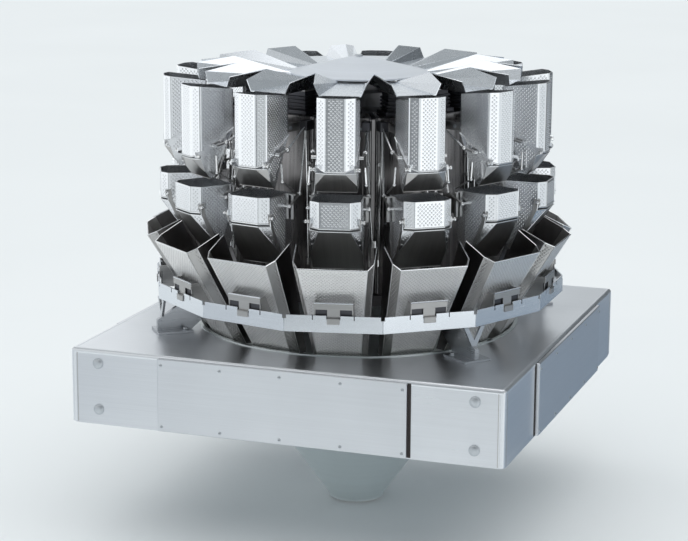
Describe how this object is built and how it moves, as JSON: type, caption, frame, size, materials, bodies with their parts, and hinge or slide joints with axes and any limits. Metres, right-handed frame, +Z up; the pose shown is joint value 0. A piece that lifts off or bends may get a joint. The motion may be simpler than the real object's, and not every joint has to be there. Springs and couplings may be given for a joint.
{
  "type": "multihead weigher",
  "caption": "Multihead weigher: feeder trays around a cone, feed and weigh hoppers with hinged gates, chutes and a funnel on a square base.",
  "frame": {"origin": "middle of the front left mounting pad's underside", "axes": "+Z up along the machine's vertical axis, +X to the right along the front face, -Y out of the front face"},
  "size_m": [1.1206, 1.1206, 1.1665],
  "materials": {
    "brushed_steel": "brushed",
    "cover_steel": "brushed",
    "embossed_steel": "embossed",
    "gate_steel": "satin",
    "polished_steel": "polished",
    "body_steel": "satin"
  },
  "bodies": {
    "machine_frame": {"base_housing": "brushed_steel", "front_cover": "cover_steel", "back_cover": "cover_steel", "left_cover": "cover_steel", "right_cover": "cover_steel", "collecting_funnel": "brushed_steel", "chute_ring_front": "embossed_steel", "chute_ring_right": "embossed_steel", "chute_ring_back": "embossed_steel", "chute_ring_left": "embossed_steel", "support_leg_1": "brushed_steel", "support_leg_2": "brushed_steel", "support_leg_3": "brushed_steel", "support_leg_4": "brushed_steel", "central_body": "body_steel", "feeder_trays": "polished_steel", "dispersion_cone": "polished_steel", "weighing_head_01": "embossed_steel", "weighing_head_02": "embossed_steel", "weighing_head_03": "embossed_steel", "weighing_head_04": "embossed_steel", "weighing_head_05": "embossed_steel", "weighing_head_06": "embossed_steel", "weighing_head_07": "embossed_steel", "weighing_head_08": "embossed_steel", "weighing_head_09": "embossed_steel", "weighing_head_10": "embossed_steel", "weighing_head_11": "embossed_steel", "weighing_head_12": "embossed_steel", "weighing_head_13": "embossed_steel", "weighing_head_14": "embossed_steel"},
    "feed_gate_01": {"feed_gate_01": "gate_steel"},
    "weigh_gate_01": {"weigh_gate_01": "gate_steel"},
    "feed_gate_02": {"feed_gate_02": "gate_steel"},
    "weigh_gate_02": {"weigh_gate_02": "gate_steel"},
    "feed_gate_03": {"feed_gate_03": "gate_steel"},
    "weigh_gate_03": {"weigh_gate_03": "gate_steel"},
    "feed_gate_04": {"feed_gate_04": "gate_steel"},
    "weigh_gate_04": {"weigh_gate_04": "gate_steel"},
    "feed_gate_05": {"feed_gate_05": "gate_steel"},
    "weigh_gate_05": {"weigh_gate_05": "gate_steel"},
    "feed_gate_06": {"feed_gate_06": "gate_steel"},
    "weigh_gate_06": {"weigh_gate_06": "gate_steel"},
    "feed_gate_07": {"feed_gate_07": "gate_steel"},
    "weigh_gate_07": {"weigh_gate_07": "gate_steel"},
    "feed_gate_08": {"feed_gate_08": "gate_steel"},
    "weigh_gate_08": {"weigh_gate_08": "gate_steel"},
    "feed_gate_09": {"feed_gate_09": "gate_steel"},
    "weigh_gate_09": {"weigh_gate_09": "gate_steel"},
    "feed_gate_10": {"feed_gate_10": "gate_steel"},
    "weigh_gate_10": {"weigh_gate_10": "gate_steel"},
    "feed_gate_11": {"feed_gate_11": "gate_steel"},
    "weigh_gate_11": {"weigh_gate_11": "gate_steel"},
    "feed_gate_12": {"feed_gate_12": "gate_steel"},
    "weigh_gate_12": {"weigh_gate_12": "gate_steel"},
    "feed_gate_13": {"feed_gate_13": "gate_steel"},
    "weigh_gate_13": {"weigh_gate_13": "gate_steel"},
    "feed_gate_14": {"feed_gate_14": "gate_steel"},
    "weigh_gate_14": {"weigh_gate_14": "gate_steel"}
  },
  "joints": [
    {"name": "feed_gate_01_hinge", "type": "hinge", "parent": "machine_frame", "child": "feed_gate_01", "pos_m": [0.53915, -0.0482, 0.666], "axis": [-0.9749, -0.2225, 0], "range_deg": [0, 36]},
    {"name": "weigh_gate_01_hinge", "type": "hinge", "parent": "machine_frame", "child": "weigh_gate_01", "pos_m": [0.53904, -0.04772, 0.542], "axis": [-0.9749, -0.2225, 0], "range_deg": [0, 34]},
    {"name": "feed_gate_02_hinge", "type": "hinge", "parent": "machine_frame", "child": "feed_gate_02", "pos_m": [0.73582, 0.04651, 0.666], "axis": [-0.7818, -0.6235, 0], "range_deg": [0, 36]},
    {"name": "weigh_gate_02_hinge", "type": "hinge", "parent": "machine_frame", "child": "weigh_gate_02", "pos_m": [0.73551, 0.0469, 0.542], "axis": [-0.7818, -0.6235, 0], "range_deg": [0, 34]},
    {"name": "feed_gate_03_hinge", "type": "hinge", "parent": "machine_frame", "child": "feed_gate_03", "pos_m": [0.87192, 0.21718, 0.666], "axis": [-0.4339, -0.901, 0], "range_deg": [0, 36]},
    {"name": "weigh_gate_03_hinge", "type": "hinge", "parent": "machine_frame", "child": "weigh_gate_03", "pos_m": [0.87147, 0.2174, 0.542], "axis": [-0.4339, -0.901, 0], "range_deg": [0, 34]},
    {"name": "feed_gate_04_hinge", "type": "hinge", "parent": "machine_frame", "child": "feed_gate_04", "pos_m": [0.9205, 0.43, 0.666], "axis": [0, -1, 0], "range_deg": [0, 36]},
    {"name": "weigh_gate_04_hinge", "type": "hinge", "parent": "machine_frame", "child": "weigh_gate_04", "pos_m": [0.92, 0.43, 0.542], "axis": [0, -1, 0], "range_deg": [0, 34]},
    {"name": "feed_gate_05_hinge", "type": "hinge", "parent": "machine_frame", "child": "feed_gate_05", "pos_m": [0.87192, 0.64282, 0.666], "axis": [0.4339, -0.901, 0], "range_deg": [0, 36]},
    {"name": "weigh_gate_05_hinge", "type": "hinge", "parent": "machine_frame", "child": "weigh_gate_05", "pos_m": [0.87147, 0.6426, 0.542], "axis": [0.4339, -0.901, 0], "range_deg": [0, 34]},
    {"name": "feed_gate_06_hinge", "type": "hinge", "parent": "machine_frame", "child": "feed_gate_06", "pos_m": [0.73582, 0.81349, 0.666], "axis": [0.7818, -0.6235, 0], "range_deg": [0, 36]},
    {"name": "weigh_gate_06_hinge", "type": "hinge", "parent": "machine_frame", "child": "weigh_gate_06", "pos_m": [0.73551, 0.8131, 0.542], "axis": [0.7818, -0.6235, 0], "range_deg": [0, 34]},
    {"name": "feed_gate_07_hinge", "type": "hinge", "parent": "machine_frame", "child": "feed_gate_07", "pos_m": [0.53915, 0.9082, 0.666], "axis": [0.9749, -0.2225, 0], "range_deg": [0, 36]},
    {"name": "weigh_gate_07_hinge", "type": "hinge", "parent": "machine_frame", "child": "weigh_gate_07", "pos_m": [0.53904, 0.90772, 0.542], "axis": [0.9749, -0.2225, 0], "range_deg": [0, 34]},
    {"name": "feed_gate_08_hinge", "type": "hinge", "parent": "machine_frame", "child": "feed_gate_08", "pos_m": [0.32085, 0.9082, 0.666], "axis": [0.9749, 0.2225, 0], "range_deg": [0, 36]},
    {"name": "weigh_gate_08_hinge", "type": "hinge", "parent": "machine_frame", "child": "weigh_gate_08", "pos_m": [0.32097, 0.90772, 0.542], "axis": [0.9749, 0.2225, 0], "range_deg": [0, 34]},
    {"name": "feed_gate_09_hinge", "type": "hinge", "parent": "machine_frame", "child": "feed_gate_09", "pos_m": [0.12418, 0.81349, 0.666], "axis": [0.7818, 0.6235, 0], "range_deg": [0, 36]},
    {"name": "weigh_gate_09_hinge", "type": "hinge", "parent": "machine_frame", "child": "weigh_gate_09", "pos_m": [0.12449, 0.8131, 0.542], "axis": [0.7818, 0.6235, 0], "range_deg": [0, 34]},
    {"name": "feed_gate_10_hinge", "type": "hinge", "parent": "machine_frame", "child": "feed_gate_10", "pos_m": [-0.01192, 0.64282, 0.666], "axis": [0.4339, 0.901, 0], "range_deg": [0, 36]},
    {"name": "weigh_gate_10_hinge", "type": "hinge", "parent": "machine_frame", "child": "weigh_gate_10", "pos_m": [-0.01148, 0.6426, 0.542], "axis": [0.4339, 0.901, 0], "range_deg": [0, 34]},
    {"name": "feed_gate_11_hinge", "type": "hinge", "parent": "machine_frame", "child": "feed_gate_11", "pos_m": [-0.0605, 0.43, 0.666], "axis": [0, 1, 0], "range_deg": [0, 36]},
    {"name": "weigh_gate_11_hinge", "type": "hinge", "parent": "machine_frame", "child": "weigh_gate_11", "pos_m": [-0.06, 0.43, 0.542], "axis": [0, 1, 0], "range_deg": [0, 34]},
    {"name": "feed_gate_12_hinge", "type": "hinge", "parent": "machine_frame", "child": "feed_gate_12", "pos_m": [-0.01192, 0.21718, 0.666], "axis": [-0.4339, 0.901, 0], "range_deg": [0, 36]},
    {"name": "weigh_gate_12_hinge", "type": "hinge", "parent": "machine_frame", "child": "weigh_gate_12", "pos_m": [-0.01148, 0.2174, 0.542], "axis": [-0.4339, 0.901, 0], "range_deg": [0, 34]},
    {"name": "feed_gate_13_hinge", "type": "hinge", "parent": "machine_frame", "child": "feed_gate_13", "pos_m": [0.12418, 0.04651, 0.666], "axis": [-0.7818, 0.6235, 0], "range_deg": [0, 36]},
    {"name": "weigh_gate_13_hinge", "type": "hinge", "parent": "machine_frame", "child": "weigh_gate_13", "pos_m": [0.12449, 0.0469, 0.542], "axis": [-0.7818, 0.6235, 0], "range_deg": [0, 34]},
    {"name": "feed_gate_14_hinge", "type": "hinge", "parent": "machine_frame", "child": "feed_gate_14", "pos_m": [0.32085, -0.0482, 0.666], "axis": [-0.9749, 0.2225, 0], "range_deg": [0, 36]},
    {"name": "weigh_gate_14_hinge", "type": "hinge", "parent": "machine_frame", "child": "weigh_gate_14", "pos_m": [0.32097, -0.04772, 0.542], "axis": [-0.9749, 0.2225, 0], "range_deg": [0, 34]}
  ]
}
